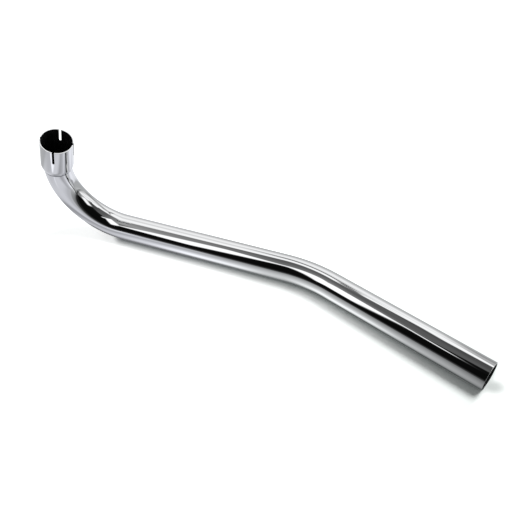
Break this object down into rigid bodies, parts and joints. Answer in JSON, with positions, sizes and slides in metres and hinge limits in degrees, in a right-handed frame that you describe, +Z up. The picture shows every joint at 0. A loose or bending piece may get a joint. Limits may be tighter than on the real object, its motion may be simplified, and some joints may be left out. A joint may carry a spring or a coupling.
{
  "type": "exhaust header pipe",
  "caption": "Chromed steel exhaust header pipe with an elbow, a shallow offset bend, a slotted clamp-on socket and a plain square cut end.",
  "frame": {"origin": "on the floor, under the middle of the pipe's length and width as it lies", "axes": "+X along the rear straight run and out of its plain end, +Y to the left of that, +Z up; the elbow and the socket stand up at the -X end"},
  "size_m": [0.7386, 0.2153, 0.2052],
  "materials": {
    "chromed_steel": "bright polished chrome plate; bare, dark inside"
  },
  "bodies": {
    "root": {"header_pipe": "chromed_steel"}
  },
  "joints": []
}
